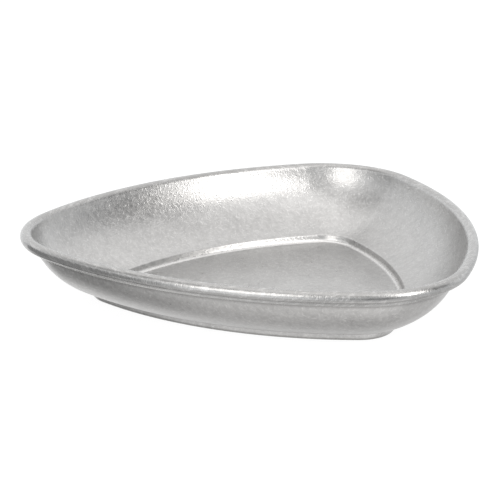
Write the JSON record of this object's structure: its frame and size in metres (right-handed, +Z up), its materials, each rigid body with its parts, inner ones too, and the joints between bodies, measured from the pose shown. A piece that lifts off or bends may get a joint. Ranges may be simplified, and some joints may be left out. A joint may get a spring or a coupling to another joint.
{
  "type": "shallow three-cornered dish",
  "caption": "Shallow steel dish with a rounded-triangle outline, curved walls, a flat stepped base and a rim rolled over a wire.",
  "frame": {"origin": "centre of the flat underside of the base, on the dish's three-fold axis", "axes": "+Z up, out of the open top; -X towards one of the three corners, +X towards the middle of the opposite side"},
  "size_m": [0.2477, 0.2514, 0.0389],
  "materials": {
    "tumbled_steel": "satin, tumbled: short fine marks in every direction",
    "steel_wire": "drawn"
  },
  "bodies": {
    "root": {"pressed_dish": "tumbled_steel", "rim_wire": "steel_wire"}
  },
  "joints": []
}
